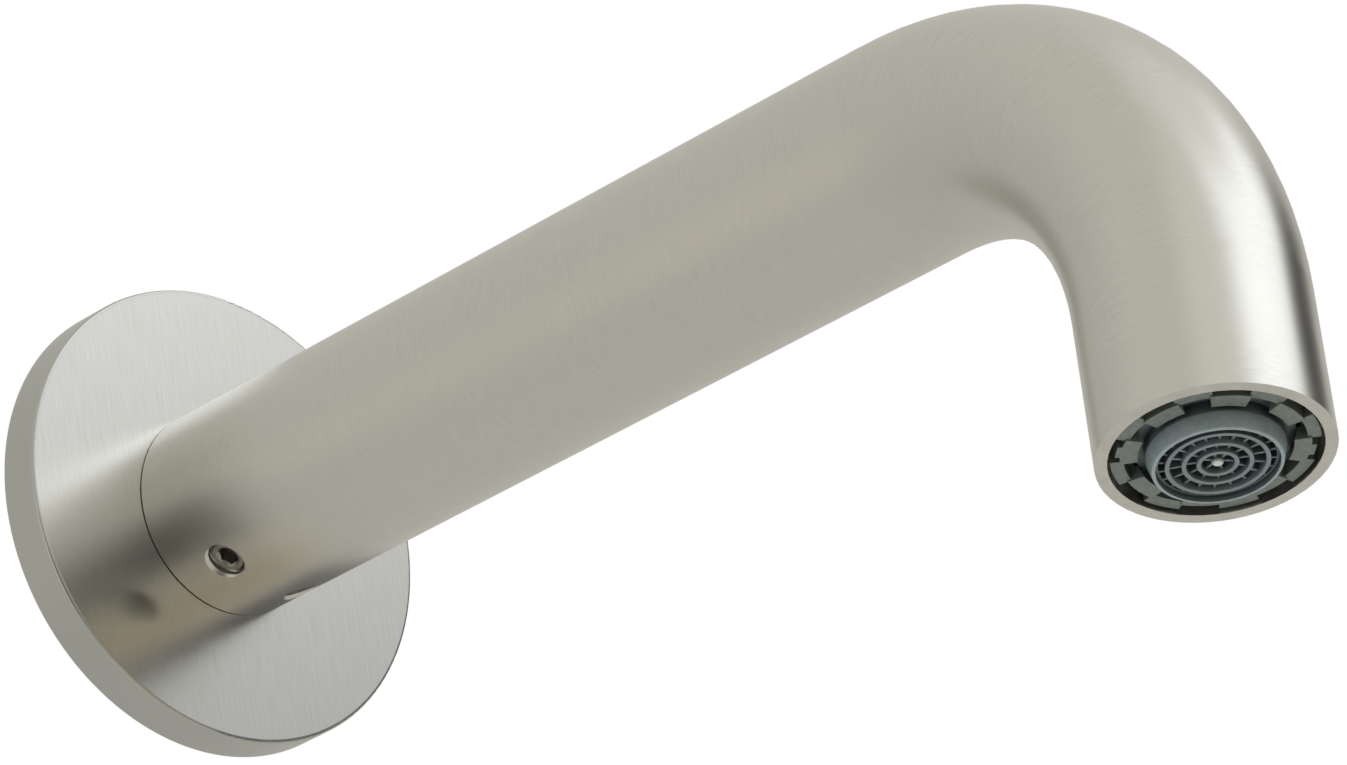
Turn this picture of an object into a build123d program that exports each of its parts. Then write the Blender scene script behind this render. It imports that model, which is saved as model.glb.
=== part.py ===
from build123d import *
import math
import os

# Wall mounted bath spout: a round rosette, a bent tube on a brass wall nipple, and a swivel aerator.
# Millimetres. The wall is the plane Y = 0, the spout stands out along -Y, and Z is up.
# The origin is on the nipple's axis where it leaves the wall.

# Clearances
SLIDE_GAP = 0.05
SEAT_GAP = 0.05
BRAZE_GAP = 0.02

# Rosette
ROSETTE_DIAMETER = 63.0
ROSETTE_THICKNESS = 6.3
ROSETTE_FACE_WALL = 3.0
ROSETTE_RIM_WIDTH = 3.0
ROSETTE_BORE_GAP = 0.35
ROSETTE_FRONT_ROUND = 0.45
ROSETTE_BACK_ROUND = 0.3
WALL_SEAL_WIDTH = 5.0
GRIP_RING_SECTION = 1.6

# Tube
TUBE_DIAMETER = 28.0
TUBE_WALL = 1.5
SEAM_GAP = 0.12
STRAIGHT_RUN = 134.7
BEND_RADIUS = 49.0
BEND_ANGLE = 80.0
OUTLET_LEG = 20.0
OUTLET_OUTER_ROUND = 0.6
OUTLET_INNER_ROUND = 0.35
SEAM_EDGE_ROUND = 0.08

# Wall nipple, with a half inch pipe thread drawn plain at its outside diameter
PIPE_THREAD_DIAMETER = 20.955
PIPE_THREAD_LENGTH = 14.0
PIPE_THREAD_LEAD = 1.2
PIPE_THREAD_UNDERCUT = 0.6
NIPPLE_WALL = 3.5
COLLAR_ACROSS_FLATS = 24.0
COLLAR_SEAL_THICKNESS = 1.5
COLLAR_SEAL_WIDTH = 1.2
SPIGOT_LENGTH = 30.0
SPIGOT_LEAD = 1.0
DRIVE_OVER_BORE = 1.0
DRIVE_DEPTH = 5.0
O_RING_SECTION = 2.0
O_RING_GROOVE_WIDTH = 2.6
O_RING_FROM_TIP = 8.5
O_RING_SPACING = 6.0

# Socket brazed into the tube's base
SOCKET_WALL = 3.5
SOCKET_SETBACK = 0.6
SOCKET_PAST_SPIGOT = 2.0
SOCKET_LEAD = 0.8

# Set screws and their pads
SCREW_DIAMETER = 5.0
SCREW_PITCH = 0.8
SCREW_THREAD_DEPTH = 0.35
SCREW_LENGTH = 4.0
SCREW_KEY = 2.5
SCREW_KEY_DEPTH = 2.2
SCREW_KEY_LEAD = 0.4
SCREW_ANGLE = 28.0
SCREW_FROM_ROSETTE = 9.1
SCREW_HOLE_LEAD = 0.45
PAD_DIAMETER = 4.0
PAD_THICKNESS = 1.45
LOCK_GROOVE_DEPTH = 1.5
LOCK_GROOVE_ROOM = 0.6

# Aerator, with its fine thread (24 mm outside) drawn as rings about the pitch diameter
AERATOR_PITCH = 1.0
AERATOR_RING_DEPTH = 0.3
HOUSING_LIP = 0.2
OUTLET_BUSH_WALL = 0.825
KEY_RING_GAP = 0.4
KEY_RING_RECESS = 0.3
KEY_RING_HEIGHT = 2.7
KEY_LUGS = 8
KEY_LUG_PHASE = 34.0
KEY_LUG_SHARE = 0.56
KEY_LUG_HEIGHT = 2.1
KEY_LUG_INSET = 1.1
KEY_SKIRT_SHARE = 0.5
KEY_SKIRT_WIDTH = 1.55
KEY_SKIRT_DROP = 0.2
KEY_RIB_WIDTH = 2.0
WASHER_THICKNESS = 2.0
WASHER_WIDTH = 2.8
OUTLET_LIP_THICKNESS = 1.5
OUTLET_LIP_WIDTH = 3.2
STRAINER_FRAME = 1.6
STRAINER_RING_WIDTH = 2.0
STRAINER_RISE = 2.0
STRAINER_SKIN = 0.5
STRAINER_HOLE = 1.1
STRAINER_HOLE_STEP = 2.1
JET_PLATE_THICKNESS = 1.5
JET_HOLE = 0.9
JET_RING_SHARES = (0.355, 0.61)
JET_RING_COUNTS = (12, 24)

# Swivel nozzle
NOZZLE_PROUD = 1.75
NOZZLE_TAPER = 1.9
NOZZLE_RIM_WIDTH = 0.5
NECK_SETBACK = 0.1
NECK_FLARE = 0.45
NECK_FLARE_DEPTH = 2.0
NECK_DEPTH = 3.6
NOZZLE_RIM_ROUND = 0.2
BALL_INSET = 2.9
BALL_RISE = 3.5
SWIVEL_SEAT_WALL = 0.4
SWIVEL_SEAT_HALF = 0.7
BALL_ROOM = 0.1
SWIVEL_LIMIT = 7.0
RETAINER_SETBACK = 0.6
GRID_RECESS = 0.3
GRID_HEIGHT = 2.5
GRID_SPOKE_RECESS = 0.5
GRID_RING_SHARES = (0.305, 0.5425, 0.81)
GRID_RING_WIDTH = 0.5
GRID_WALL = 0.35
GRID_HUB_RADIUS = 0.75
GRID_HUB_ROUND = 0.4
GRID_SPOKE_WIDTH = 0.3
GRID_SPOKES = (6, 12, 18, 24)
SCREEN_THICKNESS = 0.4
SCREEN_OPENING = 0.9
SCREEN_PITCH = 1.35
SPACER_HEIGHT = 1.2
SPACER_WIDTH = 0.7

# Places worked out from the sizes above
MATCH = 0.001
ROSETTE_RADIUS = ROSETTE_DIAMETER / 2
ROSETTE_HOLLOW = ROSETTE_THICKNESS - ROSETTE_FACE_WALL
TUBE_RADIUS = TUBE_DIAMETER / 2
TUBE_BORE_RADIUS = TUBE_RADIUS - TUBE_WALL
SPIGOT_RADIUS = TUBE_BORE_RADIUS - SOCKET_WALL
NIPPLE_BORE_RADIUS = SPIGOT_RADIUS - NIPPLE_WALL
ROSETTE_BORE_RADIUS = SPIGOT_RADIUS + ROSETTE_BORE_GAP
TUBE_START = ROSETTE_THICKNESS + SEAM_GAP
BEND_START = ROSETTE_THICKNESS + STRAIGHT_RUN
SPIGOT_END = ROSETTE_THICKNESS + SPIGOT_LENGTH
SOCKET_BORE_RADIUS = SPIGOT_RADIUS + SLIDE_GAP
SCREW_STATION = ROSETTE_THICKNESS + SCREW_FROM_ROSETTE
LOCK_GROOVE_RADIUS = SPIGOT_RADIUS - LOCK_GROOVE_DEPTH
PAD_BASE = LOCK_GROOVE_RADIUS + SEAT_GAP
SCREW_BASE = PAD_BASE + PAD_THICKNESS + SEAT_GAP
SCREW_HOLE_RADIUS = SCREW_DIAMETER / 2 + SLIDE_GAP
THREAD_MEAN_RADIUS = TUBE_BORE_RADIUS - OUTLET_BUSH_WALL
KEY_RING_RADIUS = TUBE_BORE_RADIUS - KEY_RING_GAP
BALL_RADIUS = TUBE_BORE_RADIUS - BALL_INSET
NOZZLE_FACE_RADIUS = BALL_RADIUS - NOZZLE_TAPER
BEND_RADIANS = math.radians(BEND_ANGLE)
OUTLET_AXIS = Vector(0, -math.cos(BEND_RADIANS), -math.sin(BEND_RADIANS))
BEND_CENTRE = Vector(0, -BEND_START, -BEND_RADIUS)
BEND_END = BEND_CENTRE + Vector(0, -math.sin(BEND_RADIANS), math.cos(BEND_RADIANS)) * BEND_RADIUS
OUTLET_CENTRE = BEND_END + OUTLET_AXIS * OUTLET_LEG
WALL = Plane(origin=(0, 0, 0), x_dir=(1, 0, 0), z_dir=(0, -1, 0))
OUTLET = Plane(origin=OUTLET_CENTRE, x_dir=(1, 0, 0), z_dir=OUTLET_AXIS)

# Heights in the aerator, along the outlet's axis from the rim, with the way out positive
HEAD_TOP = -KEY_RING_RECESS - KEY_RING_HEIGHT
BALL_CENTRE = NOZZLE_PROUD - math.sqrt(BALL_RADIUS ** 2 - NOZZLE_FACE_RADIUS ** 2)
BALL_TOP = BALL_CENTRE - BALL_RISE
BALL_TOP_RADIUS = math.sqrt(BALL_RADIUS ** 2 - BALL_RISE ** 2)
NOZZLE_BORE_RADIUS = NOZZLE_FACE_RADIUS - NOZZLE_RIM_WIDTH
SEAT_INNER_RADIUS = BALL_RADIUS + SLIDE_GAP
SEAT_OUTER_RADIUS = SEAT_INNER_RADIUS + SWIVEL_SEAT_WALL
SOCKET_SPHERE_RADIUS = SEAT_OUTER_RADIUS + SLIDE_GAP
INSERT_RADIUS = SOCKET_SPHERE_RADIUS - SEAT_GAP
SEAT_TILT = math.radians(SWIVEL_LIMIT)
SEAT_REACH = SWIVEL_SEAT_HALF * math.cos(SEAT_TILT) + SEAT_OUTER_RADIUS * math.sin(SEAT_TILT)
SEAT_ROOM_BASE = BALL_CENTRE + SEAT_REACH + SEAT_GAP
NECK_FACE_RADIUS = NOZZLE_FACE_RADIUS - NECK_SETBACK
NECK_RADIUS = NOZZLE_FACE_RADIUS + NECK_FLARE
FULL_TILT = math.radians(math.hypot(SWIVEL_LIMIT, SWIVEL_LIMIT))
BALL_REACH = BALL_RISE * math.cos(FULL_TILT) + BALL_TOP_RADIUS * math.sin(FULL_TILT)
RETAINER_BASE = BALL_CENTRE - SWIVEL_SEAT_HALF - RETAINER_SETBACK
RETAINER_TOP = BALL_CENTRE - BALL_REACH - SEAT_GAP
JET_BASE = RETAINER_TOP - SEAT_GAP
JET_TOP = JET_BASE - JET_PLATE_THICKNESS
STRAINER_BASE = JET_TOP - SEAT_GAP
STRAINER_SHOULDER = STRAINER_BASE - STRAINER_FRAME
HOUSING_TOP = STRAINER_SHOULDER - HOUSING_LIP
WASHER_BASE = HOUSING_TOP - SEAT_GAP
WASHER_TOP = WASHER_BASE - WASHER_THICKNESS
LIP_BASE = WASHER_TOP - SEAT_GAP
LIP_TOP = LIP_BASE - OUTLET_LIP_THICKNESS
GRID_FACE = NOZZLE_PROUD - GRID_RECESS
GRID_TOP = GRID_FACE - GRID_HEIGHT
LOWER_SCREEN_BASE = GRID_TOP - SEAT_GAP
SPACER_BASE = LOWER_SCREEN_BASE - SCREEN_THICKNESS - SEAT_GAP
UPPER_SCREEN_BASE = SPACER_BASE - SPACER_HEIGHT - SEAT_GAP
CLIP_BASE = UPPER_SCREEN_BASE - SCREEN_THICKNESS - SEAT_GAP


def turned(outline):
    """Solid turned about Z from a closed outline of (radius, height) points."""
    corners = [(radius, 0, height) for radius, height in outline]
    return revolve(make_face(Polyline(*corners, close=True)), Axis.Z)


def ring(inner, outer, low, high):
    """Plain ring about Z."""
    return turned([(inner, low), (outer, low), (outer, high), (inner, high)])


def o_ring(middle, section, height):
    """Round-section ring about Z."""
    return Pos(0, 0, height) * Torus(middle, section / 2)


def ring_edges(solid, radius, height):
    """Circular edges about Z with this radius and height."""
    circles = solid.edges().filter_by(GeomType.CIRCLE)
    matched = [e for e in circles if abs(e.radius - radius) < MATCH and abs(e.arc_center.Z - height) < MATCH]
    return ShapeList(matched)


def thread_points(crest, root, start, end, pitch):
    """Zigzag of thread rings between two heights, crest first and last, listed from start to end."""
    step = math.copysign(pitch, end - start)
    turns = int(abs(end - start) / pitch)
    points = [(crest, start)]
    for turn in range(turns):
        points.append((root, start + (turn + 0.5) * step))
        points.append((crest, start + (turn + 1) * step))
    return points


def bent_rod(radius, start):
    """Solid rod along the spout's centre line, from this distance off the wall to the outlet."""
    base = Plane(origin=(0, -start, 0), x_dir=(1, 0, 0), z_dir=(0, -1, 0))
    turn_in = Plane(origin=(0, -BEND_START, 0), x_dir=(1, 0, 0), z_dir=(0, -1, 0))
    turn_out = Plane(origin=BEND_END, x_dir=(1, 0, 0), z_dir=OUTLET_AXIS)
    straight = extrude(base * Circle(radius), BEND_START - start)
    bend = revolve(turn_in * Circle(radius), Axis(BEND_CENTRE, (1, 0, 0)), BEND_ANGLE)
    leg = extrude(turn_out * Circle(radius), OUTLET_LEG)
    return straight + bend + leg


def screw_plane(side):
    """Frame of a set screw: on the tube's axis, Z out through the hole. Side is -1 left, 1 right."""
    lean = math.radians(SCREW_ANGLE)
    outward = (side * math.sin(lean), 0, -math.cos(lean))
    return Plane(origin=(0, -SCREW_STATION, 0), x_dir=(0, 1, 0), z_dir=outward)


def tapped_hole():
    """Cutter for a set screw's tapped hole, with thread rings and a small lead at the mouth."""
    lead_base = TUBE_RADIUS - SCREW_HOLE_LEAD
    lead_top = TUBE_RADIUS + SCREW_DIAMETER
    root = SCREW_HOLE_RADIUS + SCREW_THREAD_DEPTH
    zigzag = thread_points(SCREW_HOLE_RADIUS, root, SPIGOT_RADIUS - SCREW_PITCH, lead_base, SCREW_PITCH)
    mouth = SCREW_HOLE_RADIUS + SCREW_HOLE_LEAD
    outline = [(0, zigzag[0][1])] + zigzag
    outline += [(SCREW_HOLE_RADIUS, lead_base), (mouth, TUBE_RADIUS), (mouth, lead_top), (0, lead_top)]
    tidy = [point for place, point in enumerate(outline) if place == 0 or point != outline[place - 1]]
    return turned(tidy)


def both_screw_holes():
    """The two tapped holes in place."""
    return [Location(screw_plane(side)) * tapped_hole() for side in (-1, 1)]


def make_rosette():
    """Wall plate, hollow behind, with a groove in its bore for the grip ring."""
    outline = [
        (ROSETTE_BORE_RADIUS, ROSETTE_HOLLOW),
        (ROSETTE_RADIUS - ROSETTE_RIM_WIDTH, ROSETTE_HOLLOW),
        (ROSETTE_RADIUS - ROSETTE_RIM_WIDTH, 0),
        (ROSETTE_RADIUS, 0),
        (ROSETTE_RADIUS, ROSETTE_THICKNESS),
        (ROSETTE_BORE_RADIUS, ROSETTE_THICKNESS),
    ]
    plate = turned(outline)
    plate = fillet(ring_edges(plate, ROSETTE_RADIUS, ROSETTE_THICKNESS), ROSETTE_FRONT_ROUND)
    plate = fillet(ring_edges(plate, ROSETTE_RADIUS, 0), ROSETTE_BACK_ROUND)
    half_groove = GRIP_RING_SECTION / 2 + SEAT_GAP
    middle = ROSETTE_HOLLOW + ROSETTE_FACE_WALL / 2
    depth = SPIGOT_RADIUS + GRIP_RING_SECTION + 2 * SEAT_GAP
    return Location(WALL) * (plate - ring(SPIGOT_RADIUS, depth, middle - half_groove, middle + half_groove))


def make_rosette_wall_seal():
    """Foam ring that fills the hollow just inside the rim."""
    outer = ROSETTE_RADIUS - ROSETTE_RIM_WIDTH - SEAT_GAP
    return Location(WALL) * ring(outer - WALL_SEAL_WIDTH, outer, 0, ROSETTE_HOLLOW - SEAT_GAP)


def make_rosette_grip_ring():
    """O-ring between the rosette's bore and the spigot."""
    middle = SPIGOT_RADIUS + SEAT_GAP + GRIP_RING_SECTION / 2
    height = ROSETTE_HOLLOW + ROSETTE_FACE_WALL / 2
    return Location(WALL) * o_ring(middle, GRIP_RING_SECTION, height)


def o_ring_stations():
    """Distances of the front and rear O-rings off the wall."""
    front = SPIGOT_END - O_RING_FROM_TIP
    return front, front - O_RING_SPACING


def make_wall_nipple():
    """Brass connector: threaded tail, hexagon collar, and spigot with its grooves."""
    thread_radius = PIPE_THREAD_DIAMETER / 2
    bore = NIPPLE_BORE_RADIUS
    collar_top = ROSETTE_HOLLOW - SEAT_GAP
    tail = turned([
        (bore, 0),
        (thread_radius, 0),
        (thread_radius, -PIPE_THREAD_LENGTH),
        (thread_radius - PIPE_THREAD_LEAD, -PIPE_THREAD_LENGTH - PIPE_THREAD_LEAD),
        (bore, -PIPE_THREAD_LENGTH - PIPE_THREAD_LEAD),
    ])
    hexagon = RegularPolygon(COLLAR_ACROSS_FLATS / 2, 6, major_radius=False)
    collar = extrude(hexagon - Circle(bore), collar_top)
    spigot = turned([
        (bore, 0),
        (SPIGOT_RADIUS, 0),
        (SPIGOT_RADIUS, SPIGOT_END - SPIGOT_LEAD),
        (SPIGOT_RADIUS - SPIGOT_LEAD, SPIGOT_END),
        (bore, SPIGOT_END),
    ])
    nipple = tail + collar + spigot
    undercut = thread_radius - PIPE_THREAD_UNDERCUT
    seal_room = thread_radius + COLLAR_SEAL_WIDTH + SEAT_GAP
    nipple -= ring(undercut, seal_room, 0, COLLAR_SEAL_THICKNESS + SEAT_GAP)
    half_lock = SCREW_DIAMETER / 2 + LOCK_GROOVE_ROOM / 2
    past = SPIGOT_RADIUS + SPIGOT_LEAD
    nipple -= ring(LOCK_GROOVE_RADIUS, past, SCREW_STATION - half_lock, SCREW_STATION + half_lock)
    ring_groove = SPIGOT_RADIUS - O_RING_SECTION - SEAT_GAP
    for station in o_ring_stations():
        low = station - O_RING_GROOVE_WIDTH / 2
        nipple -= ring(ring_groove, past, low, low + O_RING_GROOVE_WIDTH)
    drive_flat = NIPPLE_BORE_RADIUS + DRIVE_OVER_BORE / 2
    drive = extrude(RegularPolygon(drive_flat, 6, major_radius=False), DRIVE_DEPTH)
    nipple -= Pos(0, 0, SPIGOT_END - DRIVE_DEPTH) * drive
    return Location(WALL) * nipple


def make_nipple_wall_seal():
    """Flat ring in the collar's back face."""
    inner = PIPE_THREAD_DIAMETER / 2 + SEAT_GAP
    outer = PIPE_THREAD_DIAMETER / 2 + COLLAR_SEAL_WIDTH
    return Location(WALL) * ring(inner, outer, 0, COLLAR_SEAL_THICKNESS)


def make_nipple_o_ring(station):
    """O-ring in a spigot groove, just touching the socket's bore."""
    return Location(WALL) * o_ring(SPIGOT_RADIUS - O_RING_SECTION / 2, O_RING_SECTION, station)


def make_spout_tube():
    """Bent tube, open at both ends, with the two tapped holes."""
    tube = bent_rod(TUBE_RADIUS, TUBE_START) - bent_rod(TUBE_BORE_RADIUS, TUBE_START)
    circles = tube.edges().filter_by(GeomType.CIRCLE)
    at_outlet = [edge for edge in circles if (edge.arc_center - OUTLET_CENTRE).length < MATCH]
    outer_rim = ShapeList([edge for edge in at_outlet if abs(edge.radius - TUBE_RADIUS) < MATCH])
    inner_rim = ShapeList([edge for edge in at_outlet if abs(edge.radius - TUBE_BORE_RADIUS) < MATCH])
    base = Vector(0, -TUBE_START, 0)
    at_base = [edge for edge in circles if (edge.arc_center - base).length < MATCH]
    base_rim = ShapeList([edge for edge in at_base if abs(edge.radius - TUBE_RADIUS) < MATCH])
    tube = fillet(outer_rim, OUTLET_OUTER_ROUND)
    tube = fillet(inner_rim, OUTLET_INNER_ROUND)
    tube = fillet(base_rim, SEAM_EDGE_ROUND)
    for hole in both_screw_holes():
        tube -= hole
    return tube


def make_spout_socket():
    """Brass bush in the tube's base that slides over the spigot."""
    start = TUBE_START + SOCKET_SETBACK
    end = SPIGOT_END + SOCKET_PAST_SPIGOT
    outer = TUBE_BORE_RADIUS - BRAZE_GAP
    bush = Location(WALL) * turned([
        (SOCKET_BORE_RADIUS + SOCKET_LEAD, start),
        (outer, start),
        (outer, end),
        (SOCKET_BORE_RADIUS, end),
        (SOCKET_BORE_RADIUS, start + SOCKET_LEAD),
    ])
    for hole in both_screw_holes():
        bush -= hole
    return bush


def make_set_screw(side):
    """Grub screw with thread rings and a hexagon socket, its mouth countersunk, in the outer end."""
    crest = SCREW_DIAMETER / 2
    root = crest - SCREW_THREAD_DEPTH
    top = SCREW_BASE + SCREW_LENGTH
    zigzag = thread_points(crest, root, SCREW_BASE + SCREW_THREAD_DEPTH, top - SCREW_THREAD_DEPTH,
                           SCREW_PITCH)
    outline = [(0, SCREW_BASE), (root, SCREW_BASE)] + zigzag + [(root, top), (0, top)]
    key_flat = SCREW_KEY / 2
    key = extrude(RegularPolygon(key_flat, 6, major_radius=False), SCREW_KEY_DEPTH)
    mouth_base = top - SCREW_KEY_LEAD
    mouth = turned([(0, mouth_base), (key_flat, mouth_base), (key_flat + SCREW_KEY_LEAD, top), (0, top)])
    screw = turned(outline) - Pos(0, 0, top - SCREW_KEY_DEPTH) * key - mouth
    return Location(screw_plane(side)) * screw


def make_set_screw_pad(side):
    """Brass thrust pad between a set screw and the nipple's groove."""
    pad = turned([
        (0, PAD_BASE),
        (PAD_DIAMETER / 2, PAD_BASE),
        (PAD_DIAMETER / 2, PAD_BASE + PAD_THICKNESS),
        (0, PAD_BASE + PAD_THICKNESS),
    ])
    room = Location(WALL) * ring(0.0, PAD_BASE, 0, SPIGOT_END)
    return Location(screw_plane(side)) * pad - room


def make_outlet_bush():
    """Threaded ring in the outlet, with a lip that the washer seals against."""
    outer = TUBE_BORE_RADIUS - BRAZE_GAP
    crest = THREAD_MEAN_RADIUS
    zigzag = thread_points(crest, crest + AERATOR_RING_DEPTH, HEAD_TOP - SEAT_GAP, WASHER_BASE, AERATOR_PITCH)
    lip = outer - OUTLET_LIP_WIDTH
    outline = zigzag + [(crest, LIP_BASE), (lip, LIP_BASE), (lip, LIP_TOP), (outer, LIP_TOP)]
    outline += [(outer, HEAD_TOP - SEAT_GAP)]
    return Location(OUTLET) * turned(outline)


def make_aerator_washer():
    """Rubber washer above the housing."""
    outer = THREAD_MEAN_RADIUS - SLIDE_GAP
    return Location(OUTLET) * ring(outer - WASHER_WIDTH, outer, WASHER_TOP, WASHER_BASE)


def lug_wedge(angle, sweep, inner, outer, low, high):
    """Arc-shaped block about Z, centred on an angle in degrees."""
    block = extrude(Circle(outer) - Circle(inner), high - low)
    reach = 2 * outer
    half = math.radians(sweep / 2)
    slice_face = make_face(Polyline(
        (0, 0, 0),
        (reach * math.cos(half), -reach * math.sin(half), 0),
        (reach * math.cos(half), reach * math.sin(half), 0),
        close=True,
    ))
    wedge = Pos(0, 0, low) * (block & extrude(slice_face, high - low))
    return Rot(0, 0, angle) * wedge


def make_aerator_housing():
    """Threaded ring with a meandering key wall and a round seat for the swivel."""
    face = -KEY_RING_RECESS
    lug_base = face - KEY_LUG_HEIGHT
    lug_outer = KEY_RING_RADIUS - KEY_LUG_INSET
    skirt_inner = KEY_RING_RADIUS - KEY_SKIRT_WIDTH
    crest = THREAD_MEAN_RADIUS - SLIDE_GAP
    zigzag = thread_points(crest, crest - AERATOR_RING_DEPTH, HEAD_TOP, HOUSING_TOP, AERATOR_PITCH)
    outline = [(0, lug_base), (KEY_RING_RADIUS, lug_base), (KEY_RING_RADIUS, HEAD_TOP)] + zigzag
    outline += [(crest - AERATOR_RING_DEPTH, HOUSING_TOP), (0, HOUSING_TOP)]
    body = turned(outline)
    step = 360 / KEY_LUGS
    for lug in range(KEY_LUGS):
        angle = KEY_LUG_PHASE + lug * step
        body += lug_wedge(angle, step * KEY_LUG_SHARE, NOZZLE_FACE_RADIUS, lug_outer, lug_base, face)
        body += lug_wedge(angle + step / 2, step * KEY_SKIRT_SHARE, skirt_inner, KEY_RING_RADIUS, lug_base,
                          face - KEY_SKIRT_DROP)
    rib = Box(2 * lug_outer + KEY_LUG_INSET, KEY_RIB_WIDTH, KEY_LUG_HEIGHT)
    body += Rot(0, 0, KEY_LUG_PHASE) * (Pos(0, 0, (face + lug_base) / 2) * rib)
    body -= Pos(0, 0, BALL_CENTRE) * Sphere(BALL_RADIUS + BALL_ROOM)
    seat_room = ring(0, SOCKET_SPHERE_RADIUS, BALL_CENTRE, SEAT_ROOM_BASE)
    body -= seat_room & (Pos(0, 0, BALL_CENTRE) * Sphere(SOCKET_SPHERE_RADIUS))
    body -= ring(0, SOCKET_SPHERE_RADIUS, HOUSING_TOP, BALL_CENTRE)
    return Location(OUTLET) * body


def make_swivel_seat():
    """Slip ring, round inside and out, between the ball and the housing."""
    shell = Sphere(SEAT_OUTER_RADIUS) - Sphere(SEAT_INNER_RADIUS)
    band = Cylinder(2 * SEAT_OUTER_RADIUS, 2 * SWIVEL_SEAT_HALF)
    return Location(OUTLET) * (Pos(0, 0, BALL_CENTRE) * (shell & band))


def make_swivel_retainer():
    """Ring pressed into the housing above the swivel seat."""
    blank = ring(0, INSERT_RADIUS, RETAINER_TOP, RETAINER_BASE)
    return Location(OUTLET) * (blank - Pos(0, 0, BALL_CENTRE) * Sphere(SOCKET_SPHERE_RADIUS))


def make_aerator_jet_plate():
    """Plate of small jets above the swivel."""
    plate = Circle(INSERT_RADIUS)
    for share, count in zip(JET_RING_SHARES, JET_RING_COUNTS):
        spots = PolarLocations(share * INSERT_RADIUS, count)
        plate -= [spot * Circle(JET_HOLE / 2) for spot in spots]
    return Location(OUTLET) * (Pos(0, 0, JET_TOP) * extrude(plate, JET_PLATE_THICKNESS))


def make_aerator_strainer():
    """Perforated dome on a ring, at the aerator's inlet."""
    dome_radius = INSERT_RADIUS - STRAINER_RING_WIDTH
    sphere_radius = (dome_radius ** 2 + STRAINER_RISE ** 2) / (2 * STRAINER_RISE)
    centre = STRAINER_SHOULDER - STRAINER_RISE + sphere_radius
    shell = Sphere(sphere_radius) - Sphere(sphere_radius - STRAINER_SKIN)
    cap_room = Pos(0, 0, STRAINER_SHOULDER - STRAINER_RISE) * Cylinder(
        dome_radius + STRAINER_SKIN,
        STRAINER_RISE + STRAINER_SKIN,
        align=(Align.CENTER, Align.CENTER, Align.MIN),
    )
    cap = (Pos(0, 0, centre) * shell) & cap_room
    frame = ring(dome_radius - STRAINER_SKIN, INSERT_RADIUS, STRAINER_SHOULDER, STRAINER_BASE)
    holes = []
    rows = int((dome_radius - STRAINER_HOLE) / STRAINER_HOLE_STEP)
    for row in range(rows + 1):
        spots = PolarLocations(row * STRAINER_HOLE_STEP, 6 * row) if row else [Pos(0, 0, 0)]
        holes += [spot * Circle(STRAINER_HOLE / 2) for spot in spots]
    drill_base = STRAINER_SHOULDER - 2 * STRAINER_RISE
    drills = Pos(0, 0, drill_base) * extrude(Sketch() + holes, 3 * STRAINER_RISE)
    return Location(OUTLET) * (frame + cap - drills)


def make_nozzle_ball():
    """Ball with a flared neck and a straight bore, cut flat at the nozzle's face and at its top."""
    neck_base = NOZZLE_PROUD - NECK_DEPTH
    zone = turned([
        (0, BALL_TOP),
        (BALL_RADIUS, BALL_TOP),
        (BALL_RADIUS, neck_base),
        (NECK_RADIUS, neck_base),
        (NECK_RADIUS, NOZZLE_PROUD - NECK_FLARE_DEPTH),
        (NECK_FACE_RADIUS, NOZZLE_PROUD),
        (0, NOZZLE_PROUD),
    ])
    ball = zone & (Pos(0, 0, BALL_CENTRE) * Sphere(BALL_RADIUS))
    ball -= ring(0, NOZZLE_BORE_RADIUS, BALL_TOP, NOZZLE_PROUD)
    ball = fillet(ring_edges(ball, NECK_FACE_RADIUS, NOZZLE_PROUD), NOZZLE_RIM_ROUND)
    return Location(OUTLET) * ball


def make_stream_grid():
    """Rings and lower spokes in the nozzle's mouth about a round-ended hub."""
    outer = NOZZLE_BORE_RADIUS - SEAT_GAP
    spoke_face = GRID_FACE - GRID_SPOKE_RECESS
    ring_radii = tuple(share * NOZZLE_BORE_RADIUS for share in GRID_RING_SHARES)
    rings = Sketch()
    for radius in ring_radii:
        rings += Circle(radius + GRID_RING_WIDTH / 2) - Circle(radius - GRID_RING_WIDTH / 2)
    spokes = Circle(outer) - Circle(outer - GRID_WALL)
    inner_edges = (0,) + ring_radii
    outer_edges = ring_radii + (outer - GRID_WALL / 2,)
    for inner, edge, count in zip(inner_edges, outer_edges, GRID_SPOKES):
        bar = Pos((inner + edge) / 2, 0) * Rectangle(edge - inner, GRID_SPOKE_WIDTH)
        turn = 360 / count
        spokes += [Rot(0, 0, (place + 0.5) * turn) * bar for place in range(count)]
    ring_walls = Pos(0, 0, GRID_TOP) * extrude(rings, GRID_HEIGHT)
    spoke_walls = Pos(0, 0, GRID_TOP) * extrude(spokes, spoke_face - GRID_TOP)
    hub = Pos(0, 0, GRID_TOP) * extrude(Circle(GRID_HUB_RADIUS), GRID_HEIGHT)
    hub = fillet(ring_edges(hub, GRID_HUB_RADIUS, GRID_FACE), GRID_HUB_ROUND)
    return Location(OUTLET) * (ring_walls + spoke_walls + hub)


def make_mixing_screen(base):
    """Disc with square openings, its outflow side at this height."""
    radius = NOZZLE_BORE_RADIUS - SEAT_GAP
    half_count = int(radius / SCREEN_PITCH)
    room = radius - SCREEN_OPENING
    openings = []
    for column in range(-half_count, half_count + 1):
        for row in range(-half_count, half_count + 1):
            if math.hypot(column, row) * SCREEN_PITCH <= room:
                spot = Pos(column * SCREEN_PITCH, row * SCREEN_PITCH)
                openings.append(spot * Rectangle(SCREEN_OPENING, SCREEN_OPENING))
    disc = extrude(Circle(radius) - openings, SCREEN_THICKNESS)
    return Location(OUTLET) * (Pos(0, 0, base - SCREEN_THICKNESS) * disc)


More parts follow.
